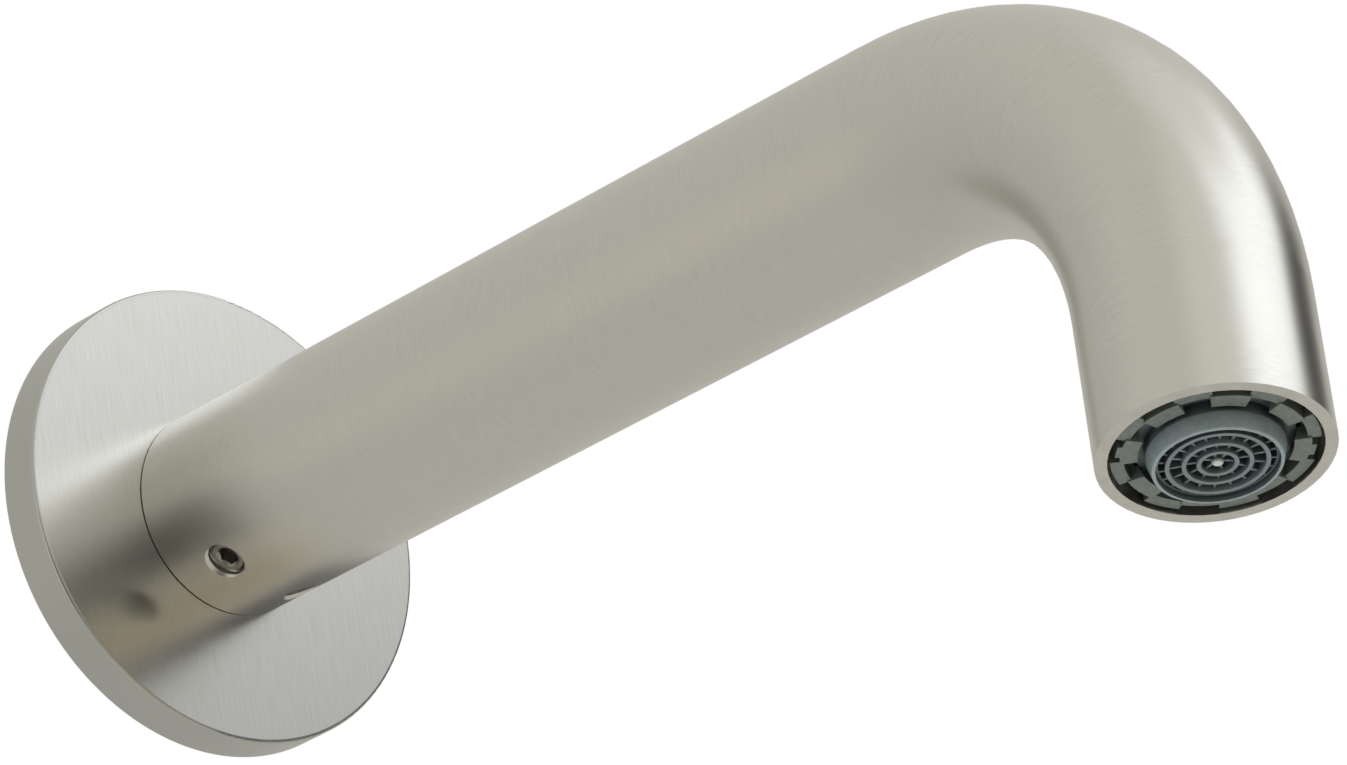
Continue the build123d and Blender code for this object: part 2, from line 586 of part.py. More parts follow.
def make_screen_ring(base):
    """Ring that spaces or clips the screens in the ball's bore."""
    outer = NOZZLE_BORE_RADIUS - SEAT_GAP
    return Location(OUTLET) * ring(outer - SPACER_WIDTH, outer, base - SPACER_HEIGHT, base)


front_o_ring, rear_o_ring = o_ring_stations()
pieces = {
    "rosette": make_rosette(),
    "rosette_wall_seal": make_rosette_wall_seal(),
    "rosette_grip_ring": make_rosette_grip_ring(),
    "wall_nipple": make_wall_nipple(),
    "nipple_wall_seal": make_nipple_wall_seal(),
    "nipple_o_ring_front": make_nipple_o_ring(front_o_ring),
    "nipple_o_ring_rear": make_nipple_o_ring(rear_o_ring),
    "spout_tube": make_spout_tube(),
    "spout_socket": make_spout_socket(),
    "set_screw_left": make_set_screw(-1),
    "set_screw_right": make_set_screw(1),
    "set_screw_pad_left": make_set_screw_pad(-1),
    "set_screw_pad_right": make_set_screw_pad(1),
    "outlet_bush": make_outlet_bush(),
    "aerator_washer": make_aerator_washer(),
    "aerator_housing": make_aerator_housing(),
    "aerator_strainer": make_aerator_strainer(),
    "aerator_jet_plate": make_aerator_jet_plate(),
    "swivel_retainer": make_swivel_retainer(),
    "swivel_seat": make_swivel_seat(),
    "nozzle_ball": make_nozzle_ball(),
    "stream_grid": make_stream_grid(),
    "mixing_screen_lower": make_mixing_screen(LOWER_SCREEN_BASE),
    "screen_spacer": make_screen_ring(SPACER_BASE),
    "mixing_screen_upper": make_mixing_screen(UPPER_SCREEN_BASE),
    "screen_clip": make_screen_ring(CLIP_BASE),
}

os.makedirs("parts", exist_ok=True)
for name, piece in pieces.items():
    export_step(piece, f"parts/{name}.step")
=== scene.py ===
import math

import bpy
from mathutils import Euler, Matrix, Vector


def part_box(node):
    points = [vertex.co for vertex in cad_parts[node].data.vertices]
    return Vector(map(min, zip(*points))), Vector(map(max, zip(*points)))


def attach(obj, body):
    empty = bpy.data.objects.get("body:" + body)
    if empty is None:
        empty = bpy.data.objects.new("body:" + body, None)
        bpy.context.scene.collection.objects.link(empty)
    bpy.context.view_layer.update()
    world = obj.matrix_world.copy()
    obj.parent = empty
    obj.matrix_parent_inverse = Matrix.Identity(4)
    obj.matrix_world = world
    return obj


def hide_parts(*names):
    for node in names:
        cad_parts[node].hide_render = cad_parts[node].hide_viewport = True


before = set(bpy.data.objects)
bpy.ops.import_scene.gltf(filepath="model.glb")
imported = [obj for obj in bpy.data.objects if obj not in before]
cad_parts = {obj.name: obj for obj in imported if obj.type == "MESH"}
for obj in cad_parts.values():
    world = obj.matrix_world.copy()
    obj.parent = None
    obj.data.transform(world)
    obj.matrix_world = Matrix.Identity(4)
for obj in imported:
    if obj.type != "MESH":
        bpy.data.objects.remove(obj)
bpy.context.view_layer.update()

bl_info = {
    "name": "Bath spout",
    "version": (1, 0, 0),
    "blender": (4, 5, 0),
    "location": "3D View > Sidebar > Bath spout",
    "description": "Finishes a wall mounted bath spout and sets up its studio",
    "category": "Object",
}

# Metres in a millimetre
MM = 0.001

# Centre line of the tube, in metres: straight from the wall, then one bend
BEND_START = 141.0 * MM
BEND_RADIUS = 49.0 * MM
BEND_ANGLE = math.radians(80.0)

# Photograph's frame, in pixels, and the camera's sensor, in millimetres
PHOTO_WIDTH = 1347
SENSOR_WIDTH = 36.0

# Edges of built meshes that turn by more than this stay sharp
SHARP_EDGE = math.radians(35)

# Noise textures seldom leave this range about their middle
NOISE_LOW = 0.3
NOISE_MIDDLE = 0.5
NOISE_HIGH = 0.7

# Smallest length that a property takes, so that no pattern is divided by zero
LEAST_LENGTH = 0.001 * MM

# Depths of relief, in metres, at full strength
BRUSH_DEPTH = 0.01 * MM
MOTTLE_DEPTH = 0.02 * MM


def linear(hex_colour):
    """Linear RGBA of an sRGB hex colour such as #A0B0C0."""
    channels = [int(hex_colour[place:place + 2], 16) / 255 for place in (1, 3, 5)]
    bent = [c / 12.92 if c <= 0.04045 else ((c + 0.055) / 1.055) ** 2.4 for c in channels]
    return (*bent, 1.0)


def colour_property(name, description, hex_colour):
    """A colour that a user can change, with an sRGB hex colour as its default."""
    return bpy.props.FloatVectorProperty(
        name=name, description=description, default=linear(hex_colour), size=4, min=0.0, max=1.0,
        subtype="COLOR")


def length_property(name, description, millimetres):
    """A length that a user can change, with its default given in millimetres and kept in metres."""
    return bpy.props.FloatProperty(
        name=name, description=description, default=millimetres * MM, min=LEAST_LENGTH, precision=6,
        unit="LENGTH")


def factor_property(name, description, share):
    """A share between 0 and 1 that a user can change."""
    return bpy.props.FloatProperty(
        name=name, description=description, default=share, min=0.0, max=1.0, subtype="FACTOR")


def add_node(tree, kind, settings=None, links=None):
    """Adds a node, gives it its settings and input values, and links its inputs from other sockets."""
    node = tree.nodes.new(kind)
    for key, value in (settings or {}).items():
        if isinstance(key, str) and hasattr(node, key):
            setattr(node, key, value)
        else:
            node.inputs[key].default_value = value
    for key, socket in (links or {}).items():
        tree.links.new(socket, node.inputs[key])
    return node


def new_material(name):
    """A fresh node material with a Principled shader. Returns the material, its tree and the shader."""
    material = bpy.data.materials.new(name)
    material.use_nodes = True
    tree = material.node_tree
    shader = next(node for node in tree.nodes if node.type == "BSDF_PRINCIPLED")
    return material, tree, shader


def finish_nodes(material, *names):
    """Gives CAD nodes this material."""
    for name in names:
        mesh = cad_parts[name].data
        mesh.materials.clear()
        mesh.materials.append(material)


def tube_path(tree):
    """Sockets that follow the bent tube: distance along it, x and height in its section, its direction."""
    place = add_node(tree, "ShaderNodeTexCoord").outputs["Object"]
    split = add_node(tree, "ShaderNodeSeparateXYZ", links={0: place})
    across, depth, height = split.outputs
    past = add_node(tree, "ShaderNodeMath", {"operation": "MULTIPLY_ADD", 1: -1.0, 2: -BEND_START},
                    {0: depth})
    above = add_node(tree, "ShaderNodeMath", {"operation": "ADD", 1: BEND_RADIUS}, {0: height})
    turn = add_node(tree, "ShaderNodeMath", {"operation": "ARCTAN2"},
                    {0: past.outputs[0], 1: above.outputs[0]})
    kept = add_node(tree, "ShaderNodeClamp", {"Min": 0.0, "Max": BEND_ANGLE}, {"Value": turn.outputs[0]})
    sine = add_node(tree, "ShaderNodeMath", {"operation": "SINE"}, {0: kept.outputs[0]})
    cosine = add_node(tree, "ShaderNodeMath", {"operation": "COSINE"}, {0: kept.outputs[0]})
    from_bend = add_node(tree, "ShaderNodeCombineXYZ", links={"X": past.outputs[0], "Y": above.outputs[0]})
    outward = add_node(tree, "ShaderNodeCombineXYZ", links={"X": sine.outputs[0], "Y": cosine.outputs[0]})
    minus_sine = add_node(tree, "ShaderNodeMath", {"operation": "MULTIPLY", 1: -1.0}, {0: sine.outputs[0]})
    minus_cosine = add_node(tree, "ShaderNodeMath", {"operation": "MULTIPLY", 1: -1.0},
                            {0: cosine.outputs[0]})
    onward = add_node(tree, "ShaderNodeCombineXYZ",
                      links={"X": cosine.outputs[0], "Y": minus_sine.outputs[0]})
    rise = add_node(tree, "ShaderNodeVectorMath", {"operation": "DOT_PRODUCT"},
                    {0: from_bend.outputs[0], 1: outward.outputs[0]})
    run = add_node(tree, "ShaderNodeVectorMath", {"operation": "DOT_PRODUCT"},
                   {0: from_bend.outputs[0], 1: onward.outputs[0]})
    above_axis = add_node(tree, "ShaderNodeMath", {"operation": "SUBTRACT", 1: BEND_RADIUS},
                          {0: rise.outputs["Value"]})
    along = add_node(tree, "ShaderNodeMath", {"operation": "MULTIPLY_ADD", 1: BEND_RADIUS},
                     {0: kept.outputs[0], 2: run.outputs["Value"]})
    direction = add_node(tree, "ShaderNodeCombineXYZ",
                         links={"Y": minus_cosine.outputs[0], "Z": minus_sine.outputs[0]})
    return along.outputs[0], across, above_axis.outputs[0], direction.outputs[0]


def brushed_tube_steel(finish):
    """Stainless steel tube, belt-brushed round its girth: short fine strokes in patches, highlights drawn
    along the tube."""
    material, tree, shader = new_material("brushed_stainless_steel_tube")
    along, across, height, direction = tube_path(tree)
    # Real strokes are too fine to show in the render, so they are drawn coarser
    spacing = finish.tube_stroke_spacing
    length = finish.tube_stroke_length
    # Between these values of the cloud noise the strokes go from thin to dense
    thin_cloud = 0.35
    dense_cloud = 0.65
    strokes_at = add_node(tree, "ShaderNodeCombineXYZ", links={"X": along, "Y": across, "Z": height})
    stretched = add_node(tree, "ShaderNodeVectorMath",
                         {"operation": "MULTIPLY", 1: (1 / spacing, 1 / length, 1 / length)},
                         {0: strokes_at.outputs[0]})
    strokes = add_node(tree, "ShaderNodeTexNoise", {"Scale": 1.0, "Detail": 3.0, "Roughness": 0.6},
                       {"Vector": stretched.outputs[0]})
    clouds = add_node(tree, "ShaderNodeTexNoise", {"Scale": 1 / finish.cloud_size, "Detail": 2.0},
                      {"Vector": strokes_at.outputs[0]})
    dense = add_node(tree, "ShaderNodeMapRange",
                     {"clamp": False, "From Min": thin_cloud, "From Max": dense_cloud,
                      "To Min": finish.thin_patches, "To Max": 1.0}, {"Value": clouds.outputs[0]})
    swing = add_node(tree, "ShaderNodeMath", {"operation": "SUBTRACT", 1: NOISE_MIDDLE},
                     {0: strokes.outputs[0]})
    patchy = add_node(tree, "ShaderNodeMath", {"operation": "MULTIPLY"},
                      {0: swing.outputs[0], 1: dense.outputs[0]})
    tint = add_node(tree, "ShaderNodeMapRange",
                    {"From Min": NOISE_LOW - NOISE_MIDDLE, "From Max": NOISE_HIGH - NOISE_MIDDLE},
                    {"Value": patchy.outputs[0]})
    colour = add_node(tree, "ShaderNodeMix",
                      {"data_type": "RGBA", 6: finish.steel_dark, 7: finish.steel_light},
                      {0: tint.outputs[0]})
    gloss = add_node(tree, "ShaderNodeMapRange",
                     {"clamp": False, "From Min": NOISE_LOW, "From Max": NOISE_HIGH,
                      "To Min": finish.tube_roughness - finish.roughness_swing,
                      "To Max": finish.tube_roughness + finish.roughness_swing}, {"Value": clouds.outputs[0]})
    bump = add_node(tree, "ShaderNodeBump", {"Strength": finish.stroke_relief, "Distance": BRUSH_DEPTH},
                    {"Height": patchy.outputs[0]})
    shader.inputs["Metallic"].default_value = 1.0
    shader.inputs["Anisotropic"].default_value = finish.anisotropy
    tree.links.new(colour.outputs[2], shader.inputs["Base Color"])
    tree.links.new(gloss.outputs[0], shader.inputs["Roughness"])
    tree.links.new(bump.outputs[0], shader.inputs["Normal"])
    tree.links.new(direction, shader.inputs["Tangent"])
    return material


def brushed_rosette_steel(finish):
    """Stainless steel plate: straight hairlines across its face, turned lines round its edge, reflections
    blurred across the lines."""
    material, tree, shader = new_material("brushed_stainless_steel_rosette")
    place = add_node(tree, "ShaderNodeTexCoord").outputs["Object"]
    lean = finish.rosette_brush_lean
    # Real hairlines are too fine to show in the render, so they are drawn coarser
    spacing = finish.rosette_line_spacing
    length = finish.rosette_line_length
    level = add_node(tree, "ShaderNodeVectorRotate", {"rotation_type": "Y_AXIS", "Angle": -lean},
                     {"Vector": place})
    face_lines = add_node(tree, "ShaderNodeVectorMath",
                          {"operation": "MULTIPLY", 1: (1 / spacing, 1 / length, 1 / length)},
                          {0: level.outputs[0]})
    edge_lines = add_node(tree, "ShaderNodeVectorMath",
                          {"operation": "MULTIPLY", 1: (1 / length, 1 / spacing, 1 / length)}, {0: place})
    flat = add_node(tree, "ShaderNodeVectorMath", {"operation": "MULTIPLY", 1: (1.0, 0.0, 1.0)}, {0: place})
    reach = add_node(tree, "ShaderNodeVectorMath", {"operation": "LENGTH"}, {0: flat.outputs[0]})
    on_edge = add_node(tree, "ShaderNodeMath", {"operation": "GREATER_THAN", 1: finish.rosette_edge_start},
                       {0: reach.outputs["Value"]})
    lines_at = add_node(tree, "ShaderNodeMix", {"data_type": "VECTOR"},
                        {0: on_edge.outputs[0], 4: face_lines.outputs[0], 5: edge_lines.outputs[0]})
    lines = add_node(tree, "ShaderNodeTexNoise", {"Scale": 1.0, "Detail": 3.0, "Roughness": 0.6},
                     {"Vector": lines_at.outputs[1]})
    tint = add_node(tree, "ShaderNodeMapRange", {"From Min": NOISE_LOW, "From Max": NOISE_HIGH},
                    {"Value": lines.outputs[0]})
    colour = add_node(tree, "ShaderNodeMix",
                      {"data_type": "RGBA", 6: finish.rosette_dark, 7: finish.rosette_light},
                      {0: tint.outputs[0]})
    colour = add_node(tree, "ShaderNodeMix", {"data_type": "RGBA", 7: finish.rosette_edge},
                      {0: on_edge.outputs[0], 6: colour.outputs[2]})
    gloss = add_node(tree, "ShaderNodeMapRange",
                     {"To Min": finish.rosette_roughness, "To Max": finish.edge_roughness},
                     {"Value": on_edge.outputs[0]})
    bump = add_node(tree, "ShaderNodeBump", {"Strength": finish.line_relief, "Distance": BRUSH_DEPTH},
                    {"Height": lines.outputs[0]})
    across_face = (math.cos(lean), 0.0, math.sin(lean))
    across_edge = (0.0, 1.0, 0.0)
    across_lines = add_node(tree, "ShaderNodeMix", {"data_type": "VECTOR", 4: across_face, 5: across_edge},
                            {0: on_edge.outputs[0]})
    shader.inputs["Metallic"].default_value = 1.0
    shader.inputs["Anisotropic"].default_value = finish.anisotropy
    tree.links.new(colour.outputs[2], shader.inputs["Base Color"])
    tree.links.new(gloss.outputs[0], shader.inputs["Roughness"])
    tree.links.new(bump.outputs[0], shader.inputs["Normal"])
    tree.links.new(across_lines.outputs[1], shader.inputs["Tangent"])
    return material


def mottled(name, dark, light, grain, roughness, metallic, relief, painted_hollow_shade=None, mark=None):
    """A surface with fine mottling of two colours. The painted gap shade is (reach, colour, openness):
    painted shade, the colour that gaps narrower than the reach take on, up to a share of open sky. A mark is
    (place, reach, colour): a small painted highlight of another colour. The grain and the reaches are in
    metres."""
    gloss_swing = 0.05
    shut_sky = 0.3
    sky_samples = 8
    material, tree, shader = new_material(name)
    place = add_node(tree, "ShaderNodeTexCoord").outputs["Object"]
    speckle = add_node(tree, "ShaderNodeTexNoise", {"Scale": 1 / grain, "Detail": 4.0, "Roughness": 0.6},
                       {"Vector": place})
    tint = add_node(tree, "ShaderNodeMapRange", {"From Min": NOISE_LOW, "From Max": NOISE_HIGH},
                    {"Value": speckle.outputs[0]})
    colour = add_node(tree, "ShaderNodeMix", {"data_type": "RGBA", 6: dark, 7: light},
                      {0: tint.outputs[0]})
    # Painted shade: where little open sky reaches, the colour turns to the shade colour
    if painted_hollow_shade:
        reach, shade, openness = painted_hollow_shade
        open_sky = add_node(tree, "ShaderNodeAmbientOcclusion", {"samples": sky_samples, "Distance": reach})
        bare = add_node(tree, "ShaderNodeMapRange", {"From Min": shut_sky, "From Max": openness},
                        {"Value": open_sky.outputs["AO"]})
        colour = add_node(tree, "ShaderNodeMix", {"data_type": "RGBA", 6: shade},
                          {0: bare.outputs[0], 7: colour.outputs[2]})
    # Painted highlight: a pale spot round a point
    if mark:
        middle, reach, bright = mark
        away = add_node(tree, "ShaderNodeVectorMath", {"operation": "DISTANCE", 1: middle}, {0: place})
        near = add_node(tree, "ShaderNodeMapRange", {"From Min": reach, "From Max": reach / 2},
                        {"Value": away.outputs["Value"]})
        colour = add_node(tree, "ShaderNodeMix", {"data_type": "RGBA", 7: bright},
                          {0: near.outputs[0], 6: colour.outputs[2]})
    gloss = add_node(tree, "ShaderNodeMapRange",
                     {"From Min": NOISE_LOW, "From Max": NOISE_HIGH, "To Min": roughness - gloss_swing,
                      "To Max": roughness + gloss_swing}, {"Value": speckle.outputs[0]})
    bump = add_node(tree, "ShaderNodeBump", {"Strength": relief, "Distance": MOTTLE_DEPTH},
                    {"Height": speckle.outputs[0]})
    shader.inputs["Metallic"].default_value = metallic
    tree.links.new(colour.outputs[2], shader.inputs["Base Color"])
    tree.links.new(gloss.outputs[0], shader.inputs["Roughness"])
    tree.links.new(bump.outputs[0], shader.inputs["Normal"])
    return material


def machined_brass(finish):
    """Turned, milled brass: fine tool marks, soft yellow metal sheen, painted shade in its thread's roots."""
    # Painted shade, dark brown, in the thread's roots
    return mottled("machined_brass", dark=linear("#C4A566"), light=finish.brass, grain=0.35 * MM,
                   roughness=0.27, metallic=1.0, relief=0.06, painted_hollow_shade=(1.6 * MM, linear("#6A4F22"), 0.95))


def nickel_plated_brass(finish):
    """Brass with a thin nickel plate: cool grey metal, even sheen, painted shade in its hollows."""
    # Painted shade in the bushes' hollows
    return mottled("nickel_plated_brass", dark=linear("#9C9A95"), light=finish.nickel, grain=0.35 * MM,
                   roughness=0.32, metallic=1.0, relief=0.06, painted_hollow_shade=(2.0 * MM, linear("#8A8883"), 0.8))


def stainless_screw_steel(finish):
    """Plain stainless grub screw: grey metal, glints on its edges, dark only where its hole shades it."""
    return mottled("stainless_screw_steel", dark=linear("#8B8983"), light=finish.screw_steel, grain=0.3 * MM,
                   roughness=0.38, metallic=1.0, relief=0.05)


def nitrile_rubber(finish):
    """Moulded black rubber: near black, dull, slightly dusty."""
    return mottled("nitrile_rubber", dark=linear("#141414"), light=finish.rubber, grain=0.5 * MM,
                   roughness=0.6, metallic=0.0, relief=0.1)


def cell_foam(finish):
    """Closed cell foam: dark grey, matt, with pores."""
    return mottled("closed_cell_foam", dark=linear("#0E0F10"), light=finish.foam, grain=0.6 * MM,
                   roughness=0.85, metallic=0.0, relief=0.6)


def key_ring_plastic(finish):
    """Moulded acetal key ring: grey-green, satin, painted shade in its gaps."""
    # Painted shade in the gaps
    return mottled("moulded_acetal_grey", dark=linear("#727C79"), light=finish.key_plastic, grain=0.8 * MM,
                   roughness=0.42, metallic=0.0, relief=0.06,
                   painted_hollow_shade=(finish.painted_shade_reach, finish.painted_gap_shade, 0.8))


def nozzle_plastic(finish):
    """Moulded nozzle in blue-grey acetal: satin, soft highlights, painted shade in its gaps."""
    # Painted shade in the gaps round the neck
    return mottled("moulded_acetal_blue_grey", dark=linear("#9CAEB6"), light=finish.nozzle_plastic,
                   grain=0.8 * MM, roughness=0.38, metallic=0.0, relief=0.05,
                   painted_hollow_shade=(2 * finish.painted_shade_reach, finish.painted_nozzle_shade, 1.0))


def grid_plastic(finish):
    """Moulded grid in darker blue-grey acetal: satin, painted shade in cells, painted highlight on the hub.
    """
    low, high = (Vector(corner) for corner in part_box("stream_grid"))
    way_out = Vector((0, -math.cos(BEND_ANGLE), -math.sin(BEND_ANGLE)))
    # Middle of the painted highlight: the hub's end
    hub_end = (low + high) / 2 + way_out * (finish.grid_height / 2)
    return mottled("moulded_acetal_dark_blue_grey", dark=linear("#808F96"), light=finish.grid_plastic,
                   grain=0.8 * MM, roughness=0.4, metallic=0.0, relief=0.05,
                   # Painted shade in the cells, painted highlight on the hub
                   painted_hollow_shade=(finish.painted_shade_reach / 2, finish.painted_cell_shade, 0.9),
                   mark=(hub_end, finish.hub_highlight_reach, finish.painted_hub_highlight))


def natural_acetal(finish):
    """Moulded natural acetal inside the aerator: off-white, waxy."""
    return mottled("moulded_acetal_natural", dark=linear("#CFCEC6"), light=finish.white_plastic,
                   grain=0.8 * MM, roughness=0.4, metallic=0.0, relief=0.05)


def etched_screen_steel(finish):
    """Etched stainless screens: fine matt grey metal."""
    return mottled("etched_screen_steel", dark=linear("#8C8B87"), light=finish.screen_steel, grain=0.25 * MM,
                   roughness=0.35, metallic=1.0, relief=0.1)


def hexagon_radius(across_flats, angle):
    """Distance from the middle to the side of a hexagon, at an angle in radians."""
    sector = math.pi / 3
    return across_flats / 2 / math.cos((angle + sector / 2) % sector - sector / 2)


def ring_mesh(name, rings, steps, placing):
    """Closed mesh through rings about Z. Each ring is (height, radius), with the radius a number or a
    function of the angle."""
    corners = []
    for height, radius in rings:
        for step in range(steps):
            angle = 2 * math.pi * step / steps
            reach = radius(angle) if callable(radius) else radius
            corners.append(placing @ Vector((reach * math.cos(angle), reach * math.sin(angle), height)))
    faces = []
    for row in range(len(rings)):
        next_row = (row + 1) % len(rings)
        for step in range(steps):
            after = (step + 1) % steps
            faces.append((row * steps + step, row * steps + after,
                          next_row * steps + after, next_row * steps + step))
    mesh = bpy.data.meshes.new(name)
    mesh.from_pydata(corners, [], faces)
    mesh.update()
    mesh.shade_smooth()
    mesh.set_sharp_from_angle(angle=SHARP_EDGE)
    piece = bpy.data.objects.new(name, mesh)
    bpy.context.scene.collection.objects.link(piece)
    return piece


def thread_rings(crest, depth, pitch, start, end, lead):
    """Rings of a right-hand thread between two heights, with a tapered lead of the given length."""
    rows_per_turn = 12
    flank_slope = 2.6
    root_share = 0.15
    rows = int((end - start) / pitch * rows_per_turn)
    rings = []
    for row in range(rows + 1):
        height = start + (end - start) * row / rows
        cap = crest - max(0.0, height - (end - lead))

        def radius(angle, height=height, cap=cap):
            phase = (height / pitch - angle / (2 * math.pi)) % 1.0
            flank = min(1.0, max(0.0, abs(phase - 0.5) * flank_slope - root_share))
            return min(cap, crest - depth * (1 - flank))

        rings.append((height, radius))
    return rings


class SpoutFinish(bpy.types.PropertyGroup):
    """Finishes of the spout's materials."""

    steel_dark: colour_property("Steel, dark strokes", "Darker strokes of the brushed tube", "#C8C6C1")
    steel_light: colour_property("Steel, light strokes", "Lighter strokes of the brushed tube", "#D4D2CD")
    rosette_dark: colour_property("Rosette, dark lines", "Darker hairlines of the rosette", "#CECDC8")
    rosette_light: colour_property("Rosette, light lines", "Lighter hairlines of the rosette", "#D8D7D3")
    rosette_edge: colour_property("Rosette, edge", "Turned edge of the rosette", "#B9B9B6")
    brass: colour_property("Brass", "Machined brass", "#DCC285")
    nickel: colour_property("Nickel plate", "Plated bushes in the tube", "#B4B2AD")
    screw_steel: colour_property("Screw steel", "Grub screws", "#A8A6A0")
    rubber: colour_property("Rubber", "Seals", "#1E1E1F")
    foam: colour_property("Foam", "Foam wall seal", "#26282A")
    key_plastic: colour_property("Key ring", "Aerator housing", "#8A9491")
    nozzle_plastic: colour_property("Nozzle", "Swivel nozzle", "#AEC0C8")
    # Painted shade on the nozzle's neck, in its gaps
    painted_nozzle_shade: colour_property("Nozzle shade", "Dark of the nozzle's neck", "#3A4347")
    grid_plastic: colour_property("Grid", "Grid in the nozzle", "#8E9DA4")
    # Painted highlight on the grid's hub
    painted_hub_highlight: colour_property("Painted hub highlight", "Pale mark on the grid's hub", "#EDF2F3")
    # Painted shade in the grid's cells
    painted_cell_shade: colour_property("Grid cells", "Dark of the grid's cells", "#4C585D")
    # Painted shade in the key ring's gaps
    painted_gap_shade: colour_property("Gaps", "Dark of the key ring's gaps", "#626965")
    white_plastic: colour_property("Inner acetal", "Inner aerator pieces", "#DEDDD6")
    screen_steel: colour_property("Screens", "Mixing screens", "#A5A49F")
    grid_height: length_property("Grid height", "Height of the grid along its axis", 2.5)
    # Radius of the painted highlight on the hub
    hub_highlight_reach: length_property("Painted hub highlight's radius", "Reach of the pale mark on the hub", 0.8)
    # Width of the gaps that take painted shade
    painted_shade_reach: length_property("Gap reach", "Width of the gaps that go dark", 3.0)
    tube_roughness: factor_property("Tube roughness", "Mean roughness of the brushed tube", 0.3)
    rosette_roughness: factor_property("Rosette roughness", "Mean roughness of the rosette", 0.22)
    edge_roughness: factor_property("Rosette edge roughness", "Roughness of the rosette's turned edge", 0.32)
    roughness_swing: factor_property("Roughness swing", "How far the tube's roughness varies", 0.02)
    anisotropy: factor_property("Anisotropy", "How far brushing stretches the highlights", 0.45)
    stroke_relief: factor_property("Stroke relief", "Strength of the brush strokes' relief", 0.07)
    line_relief: factor_property("Hairline relief", "Strength of the rosette's hairlines", 0.008)
    thin_patches: factor_property("Thin patches", "Strokes' strength where they lie thinnest", 0.2)
    tube_stroke_spacing: length_property(
        "Tube stroke spacing", "Distance between strokes, drawn coarser than real so that they show", 0.22)
    tube_stroke_length: length_property("Tube stroke length", "Length of a stroke", 2.2)
    cloud_size: length_property("Brushing patches", "Size of the patches where strokes lie denser", 14.0)
    rosette_line_spacing: length_property(
        "Rosette line spacing", "Distance between hairlines, drawn coarser than real so that they show", 0.2)
    rosette_line_length: length_property("Rosette line length", "Length of a hairline", 6.0)
    rosette_edge_start: length_property("Rosette edge", "Radius at which the edge's turned lines start", 31.0)
    rosette_brush_lean: bpy.props.FloatProperty(
        name="Rosette brush lean", description="Lean of the hairlines from upright",
        default=math.radians(-15.0), subtype="ANGLE")


class SpoutNipple(bpy.types.PropertyGroup):
    """Sizes of the wall nipple."""

    thread_diameter: length_property("Thread diameter", "Half inch pipe thread", 20.955)
    thread_depth: length_property("Thread depth", "Crest to root", 1.162)
    thread_pitch: length_property("Thread pitch", "14 turns an inch", 1.814)
    thread_length: length_property("Thread length", "From the wall plane", 15.2)
    thread_lead: length_property("Thread lead", "Taper at the thread's end", 1.2)
    undercut: length_property("Undercut", "Depth behind the thread", 0.6)
    seal_room: length_property("Seal room", "Outer radius of the seal's recess", 11.7275)
    seal_depth: length_property("Seal depth", "Depth of the seal's recess", 1.55)
    collar: length_property("Collar", "Across the hexagon's flats", 24.0)
    collar_thickness: length_property("Collar thickness", "Along the axis", 3.25)
    spigot: length_property("Spigot diameter", "Sliding diameter", 18.0)
    spigot_end: length_property("Spigot end", "Distance off the wall", 36.3)
    spigot_lead: length_property("Spigot lead", "Chamfer at the spigot's end", 1.0)
    seal_front: length_property("Front O-ring", "Groove's distance off the wall", 27.8)
    seal_rear: length_property("Rear O-ring", "Groove's distance off the wall", 21.8)
    seal_groove: length_property("O-ring groove", "Width of a groove", 2.6)
    seal_groove_depth: length_property("O-ring depth", "Depth of a groove", 2.05)
    lock_middle: length_property("Lock groove", "Its distance off the wall", 15.4)
    lock_width: length_property("Lock groove width", "Room for the screws' pads", 5.6)
    lock_depth: length_property("Lock groove depth", "Depth of the groove", 1.5)
    bore: length_property("Bore", "Water way", 11.0)
    drive: length_property("Drive", "Across the key hexagon's flats", 12.0)
    drive_depth: length_property("Drive depth", "Depth of the key hexagon", 5.0)
    steps: bpy.props.IntProperty(
        name="Steps", description="Corners round the nipple's mesh", default=96, min=12)


class SpoutStage(bpy.types.PropertyGroup):
    """Camera, floor and light."""

    camera_place: bpy.props.FloatVectorProperty(
        name="Camera", description="Where the photograph was taken from",
        default=(-0.609712, -0.819443, -0.500369), subtype="TRANSLATION", unit="LENGTH")
    camera_right: bpy.props.FloatVectorProperty(
        name="Camera right", description="The picture's right side", default=(0.758572, -0.651379, 0.016566),
        subtype="DIRECTION")
    camera_forward: bpy.props.FloatVectorProperty(
        name="Camera forward", description="The way the camera looks", default=(0.573747, 0.679784, 0.456846),
        subtype="DIRECTION")
    focal_pixels: bpy.props.FloatProperty(
        name="Focal length", description="In pixels of the photograph's width", default=8613.7,
        subtype="PIXEL")
    middle: bpy.props.FloatVectorProperty(
        name="Middle", description="Middle of the spout, where the light aims", default=(0.0, -0.1, -0.02),
        subtype="TRANSLATION", unit="LENGTH")
    floor_drop: bpy.props.FloatProperty(
        name="Floor", description="Height of the floor", default=-0.9, unit="LENGTH")
    floor_size: bpy.props.FloatProperty(
        name="Floor size", description="Radius of the floor", default=0.9, unit="LENGTH")
    floor_colour: colour_property("Floor colour", "Matt paper of the floor", "#E9E9E7")
    room_grey: factor_property("Room", "Brightness of the room that the metal reflects", 0.716)
    room_tint: colour_property("Room tint", "Tint of the room that the metal reflects", "#FFFDF3")
    fill_power: bpy.props.FloatProperty(
        name="Fill light", description="Power of the overhead light", default=0.3, unit="POWER")
    fill_place: bpy.props.FloatVectorProperty(
        name="Fill light's place", description="Where the overhead light hangs", default=(0.1, -0.4, 1.2),
        subtype="TRANSLATION", unit="LENGTH")
    fill_width: bpy.props.FloatProperty(
        name="Fill light's width", description="Width of the overhead light", default=0.9, unit="LENGTH")
    fill_depth: bpy.props.FloatProperty(
        name="Fill light's depth", description="Depth of the overhead light", default=0.6, unit="LENGTH")


